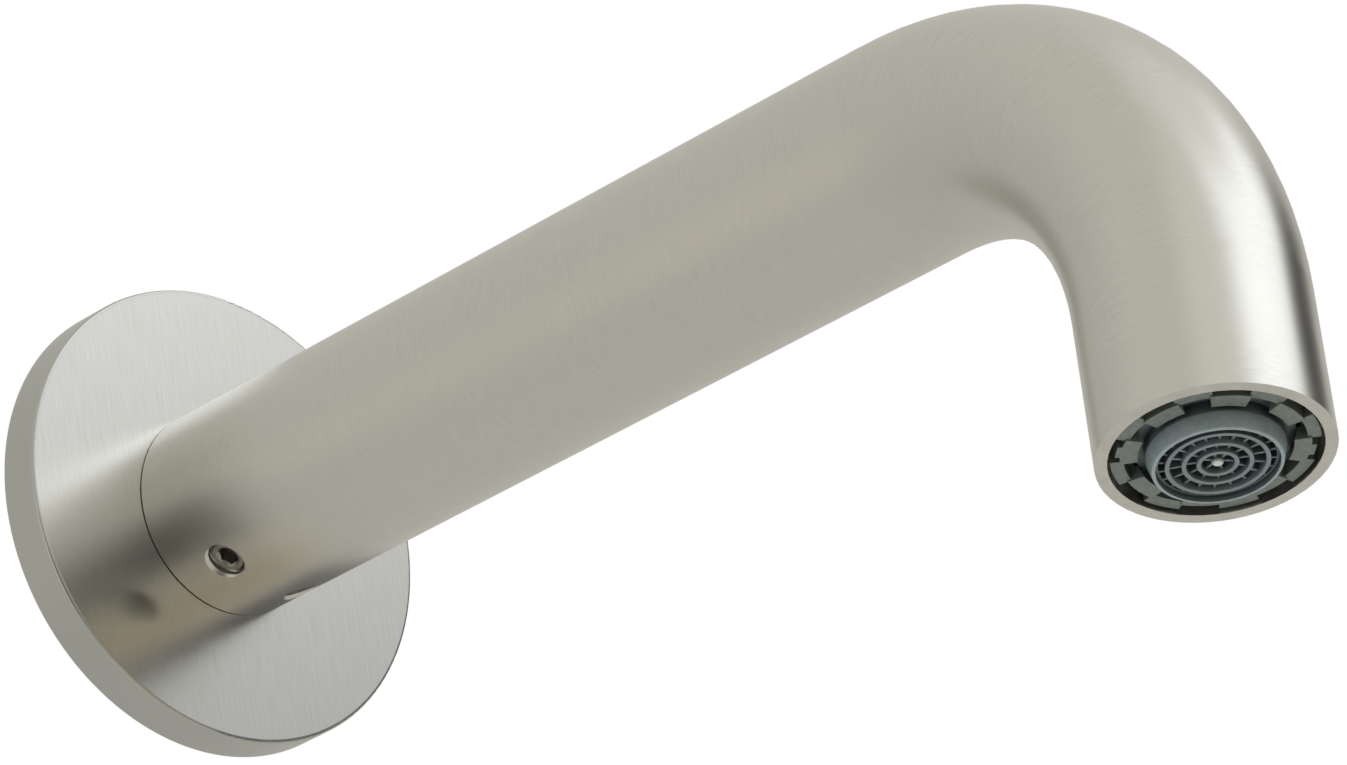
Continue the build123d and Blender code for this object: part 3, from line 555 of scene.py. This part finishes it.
class BATHSPOUT_OT_brushed_steel(bpy.types.Operator):
    """Finish the tube and the rosette in brushed stainless steel"""

    bl_idname = "bathspout.brushed_steel"
    bl_label = "Brushed steel"

    def execute(self, context):
        finish = context.scene.spout_finish
        finish_nodes(brushed_tube_steel(finish), "spout_tube")
        finish_nodes(brushed_rosette_steel(finish), "rosette")
        return {"FINISHED"}


class BATHSPOUT_OT_wall_nipple(bpy.types.Operator):
    """Build the brass nipple with its real pipe thread, and finish the brass bushes"""

    bl_idname = "bathspout.wall_nipple"
    bl_label = "Wall nipple"

    def execute(self, context):
        finish = context.scene.spout_finish
        size = context.scene.spout_nipple
        brass = machined_brass(finish)
        # The rings' Z axis points into the wall, along +Y
        into_wall = Matrix(((1, 0, 0), (0, 0, 1), (0, -1, 0))).to_4x4()
        thread = size.thread_diameter / 2
        spigot = size.spigot / 2
        collar_front = -size.collar_thickness
        drive_base = size.drive_depth - size.spigot_end

        def collar_outline(angle):
            return hexagon_radius(size.collar, angle)

        def drive_outline(angle):
            return hexagon_radius(size.drive, angle)

        rings = [
            (size.thread_length, size.bore / 2),
            (drive_base, size.bore / 2),
            (drive_base, drive_outline),
            (-size.spigot_end, drive_outline),
            (-size.spigot_end, spigot - size.spigot_lead),
            (-size.spigot_end + size.spigot_lead, spigot),
        ]
        for middle, width, depth in (
            (size.seal_front, size.seal_groove, size.seal_groove_depth),
            (size.seal_rear, size.seal_groove, size.seal_groove_depth),
            (size.lock_middle, size.lock_width, size.lock_depth),
        ):
            rings += [
                (-middle - width / 2, spigot),
                (-middle - width / 2, spigot - depth),
                (-middle + width / 2, spigot - depth),
                (-middle + width / 2, spigot),
            ]
        rings += [
            (collar_front, spigot),
            (collar_front, collar_outline),
            (0.0, collar_outline),
            (0.0, size.seal_room),
            (-size.seal_depth, size.seal_room),
            (-size.seal_depth, thread - size.undercut),
            (0.0, thread - size.undercut),
        ]
        rings += thread_rings(thread, size.thread_depth, size.thread_pitch, 0.0, size.thread_length,
                              size.thread_lead)
        nipple = ring_mesh("threaded_nipple", rings, size.steps, into_wall)
        nipple.data.materials.append(brass)
        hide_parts("wall_nipple")
        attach(nipple, "spout")
        finish_nodes(brass, "wall_nipple", "set_screw_pad_left", "set_screw_pad_right")
        finish_nodes(nickel_plated_brass(finish), "spout_socket", "outlet_bush")
        return {"FINISHED"}


class BATHSPOUT_OT_set_screws(bpy.types.Operator):
    """Finish the two set screws"""

    bl_idname = "bathspout.set_screws"
    bl_label = "Set screws"

    def execute(self, context):
        finish_nodes(stainless_screw_steel(context.scene.spout_finish), "set_screw_left", "set_screw_right")
        return {"FINISHED"}


class BATHSPOUT_OT_seals(bpy.types.Operator):
    """Finish the rubber seals and the foam ring"""

    bl_idname = "bathspout.seals"
    bl_label = "Seals"

    def execute(self, context):
        finish = context.scene.spout_finish
        finish_nodes(nitrile_rubber(finish), "rosette_grip_ring", "nipple_wall_seal", "nipple_o_ring_front",
                     "nipple_o_ring_rear", "aerator_washer")
        finish_nodes(cell_foam(finish), "rosette_wall_seal")
        return {"FINISHED"}


class BATHSPOUT_OT_aerator(bpy.types.Operator):
    """Finish the aerator's key ring, nozzle and inner pieces"""

    bl_idname = "bathspout.aerator"
    bl_label = "Aerator"

    def execute(self, context):
        finish = context.scene.spout_finish
        finish_nodes(key_ring_plastic(finish), "aerator_housing", "swivel_seat")
        finish_nodes(nozzle_plastic(finish), "nozzle_ball")
        finish_nodes(grid_plastic(finish), "stream_grid")
        finish_nodes(natural_acetal(finish), "aerator_jet_plate", "swivel_retainer", "aerator_strainer",
                     "screen_spacer", "screen_clip")
        finish_nodes(etched_screen_steel(finish), "mixing_screen_lower", "mixing_screen_upper")
        return {"FINISHED"}


class BATHSPOUT_OT_stage(bpy.types.Operator):
    """Set up the floor, the studio's light and the camera at the photograph's angle"""

    bl_idname = "bathspout.stage"
    bl_label = "Stage"

    # The room as the metal sees it, later parts over earlier ones. Each part has an azimuth and an elevation,
    # half angles of its even middle and of its soft edge, all in degrees, a brightness and a tint.
    room_parts = {
        "left_bounce_card": (165, -18, 8, 32, 0.95, "#FFFAED"),
        "left_window": (-128, 44, 6, 26, 0.88, "#FFFDF3"),
        "key_softbox": (-60, 52, 14, 34, 1.75, "#FAFEFF"),
        "low_softbox": (-78, 25, 9, 17, 1.65, "#FAFEFF"),
        "ceiling": (-60, 80, 12, 26, 0.72, "#FFFDF3"),
        "black_flag": (-35, 2, 17, 33, 0.14, "#FFFFFF"),
        "black_flag_near": (-55, 11, 9, 18, 0.2, "#FFFFFF"),
        "black_flag_far": (-10, 28, 11, 22, 0.03, "#FFFFFF"),
        "camera_shade": (-137, -38, 8, 47, 0.08, "#FFFDF3"),
        "warm_card": (-79, -27, 6, 26, 0.57, "#FFE29F"),
        "wall_glow": (86, -7, 20, 81, 0.6, "#FFFDF3"),
    }

    def build_world(self, stage):
        world = bpy.data.worlds.new("studio")
        bpy.context.scene.world = world
        world.use_nodes = True
        tree = world.node_tree
        tree.nodes.clear()
        way = add_node(tree, "ShaderNodeTexCoord").outputs["Generated"]
        light = add_node(tree, "ShaderNodeRGB").outputs[0]
        light.default_value = [channel * stage.room_grey for channel in stage.room_tint]
        for azimuth, elevation, even, edge, brightness, tint in self.room_parts.values():
            turn = Euler((0, -math.radians(elevation), math.radians(azimuth)))
            toward = turn.to_matrix() @ Vector((1, 0, 0))
            facing = add_node(tree, "ShaderNodeVectorMath", {"operation": "DOT_PRODUCT", 1: toward}, {0: way})
            share = add_node(tree, "ShaderNodeMapRange",
                             {"interpolation_type": "SMOOTHSTEP", "From Min": math.cos(math.radians(edge)),
                              "From Max": math.cos(math.radians(even))}, {"Value": facing.outputs["Value"]})
            part_light = [channel * brightness for channel in linear(tint)]
            mixed = add_node(tree, "ShaderNodeMix", {"data_type": "RGBA", 7: part_light},
                             {0: share.outputs[0], 6: light})
            light = mixed.outputs[2]
        room = add_node(tree, "ShaderNodeBackground", {"Strength": 1.0}, {"Color": light})
        white = add_node(tree, "ShaderNodeBackground", {"Color": (1, 1, 1, 1), "Strength": 1.0})
        ray = add_node(tree, "ShaderNodeLightPath")
        both = add_node(tree, "ShaderNodeMixShader",
                        links={0: ray.outputs["Is Camera Ray"], 1: room.outputs[0], 2: white.outputs[0]})
        add_node(tree, "ShaderNodeOutputWorld", links={"Surface": both.outputs[0]})

    def build_floor(self, stage):
        corners = 96
        bpy.ops.mesh.primitive_circle_add(vertices=corners, radius=stage.floor_size, fill_type="NGON",
                                          location=(stage.middle[0], stage.middle[1], stage.floor_drop))
        floor = bpy.context.object
        floor.name = "floor"
        material, tree, shader = new_material("matt_paper_floor")
        shader.inputs["Base Color"].default_value = stage.floor_colour
        shader.inputs["Roughness"].default_value = 0.9
        clear = add_node(tree, "ShaderNodeBsdfTransparent")
        ground = add_node(tree, "ShaderNodeNewGeometry")
        ray = add_node(tree, "ShaderNodeLightPath")
        away = add_node(tree, "ShaderNodeVectorMath", {"operation": "DISTANCE", 1: floor.location},
                        {0: ground.outputs["Position"]})
        fade = add_node(tree, "ShaderNodeMapRange",
                        {"interpolation_type": "SMOOTHSTEP", "From Min": 0.0, "From Max": stage.floor_size},
                        {"Value": away.outputs["Value"]})
        seen_fade = add_node(tree, "ShaderNodeMath", {"operation": "MULTIPLY"},
                             {0: fade.outputs[0], 1: ray.outputs["Is Camera Ray"]})
        hidden = add_node(tree, "ShaderNodeMath", {"operation": "MAXIMUM"},
                          {0: seen_fade.outputs[0], 1: ground.outputs["Backfacing"]})
        soft_edged = add_node(tree, "ShaderNodeMixShader",
                              links={0: hidden.outputs[0], 1: shader.outputs[0], 2: clear.outputs[0]})
        output = next(node for node in tree.nodes if node.type == "OUTPUT_MATERIAL")
        tree.links.new(soft_edged.outputs[0], output.inputs["Surface"])
        floor.data.materials.append(material)

    def build_lights(self, stage):
        lamp = bpy.data.lights.new("overhead_softbox", "AREA")
        lamp.shape = "RECTANGLE"
        lamp.size = stage.fill_width
        lamp.size_y = stage.fill_depth
        lamp.energy = stage.fill_power
        softbox = bpy.data.objects.new("overhead_softbox", lamp)
        softbox.location = stage.fill_place
        aim = Vector(stage.middle) - softbox.location
        softbox.rotation_mode = "QUATERNION"
        softbox.rotation_quaternion = aim.to_track_quat("-Z", "Y")
        bpy.context.scene.collection.objects.link(softbox)

    def build_camera(self, stage):
        data = bpy.data.cameras.new("photo_camera")
        data.sensor_width = SENSOR_WIDTH
        data.sensor_fit = "HORIZONTAL"
        data.lens = stage.focal_pixels * SENSOR_WIDTH / PHOTO_WIDTH
        data.clip_start = 0.01
        data.clip_end = 50.0
        camera = bpy.data.objects.new("photo_camera", data)
        forward = Vector(stage.camera_forward).normalized()
        right = Vector(stage.camera_right)
        right = (right - forward * right.dot(forward)).normalized()
        upward = right.cross(forward)
        turn = Matrix((right, upward, -forward)).transposed()
        camera.matrix_world = Matrix.Translation(stage.camera_place) @ turn.to_4x4()
        bpy.context.scene.collection.objects.link(camera)
        bpy.context.scene.camera = camera

    def execute(self, context):
        stage = context.scene.spout_stage
        self.build_world(stage)
        self.build_floor(stage)
        self.build_lights(stage)
        self.build_camera(stage)
        context.scene.view_settings.view_transform = "Standard"
        return {"FINISHED"}


class BATHSPOUT_PT_panel(bpy.types.Panel):
    """Lists the spout's operators"""

    bl_idname = "BATHSPOUT_PT_panel"
    bl_label = "Bath spout"
    bl_space_type = "VIEW_3D"
    bl_region_type = "UI"
    bl_category = "Bath spout"

    def draw(self, context):
        for operator in OPERATORS:
            self.layout.operator(operator.bl_idname)


GROUPS = {"spout_finish": SpoutFinish, "spout_nipple": SpoutNipple, "spout_stage": SpoutStage}
OPERATORS = (
    BATHSPOUT_OT_brushed_steel,
    BATHSPOUT_OT_wall_nipple,
    BATHSPOUT_OT_set_screws,
    BATHSPOUT_OT_seals,
    BATHSPOUT_OT_aerator,
    BATHSPOUT_OT_stage,
)


def register():
    for name, group in GROUPS.items():
        bpy.utils.register_class(group)
        setattr(bpy.types.Scene, name, bpy.props.PointerProperty(type=group))
    for operator in OPERATORS:
        bpy.utils.register_class(operator)
    bpy.utils.register_class(BATHSPOUT_PT_panel)


def unregister():
    bpy.utils.unregister_class(BATHSPOUT_PT_panel)
    for operator in reversed(OPERATORS):
        bpy.utils.unregister_class(operator)
    for name, group in reversed(GROUPS.items()):
        delattr(bpy.types.Scene, name)
        bpy.utils.unregister_class(group)


def main():
    register()
    bpy.ops.bathspout.brushed_steel()
    bpy.ops.bathspout.wall_nipple()
    bpy.ops.bathspout.set_screws()
    bpy.ops.bathspout.seals()
    bpy.ops.bathspout.aerator()
    bpy.ops.bathspout.stage()


if __name__ == "__main__":
    main()
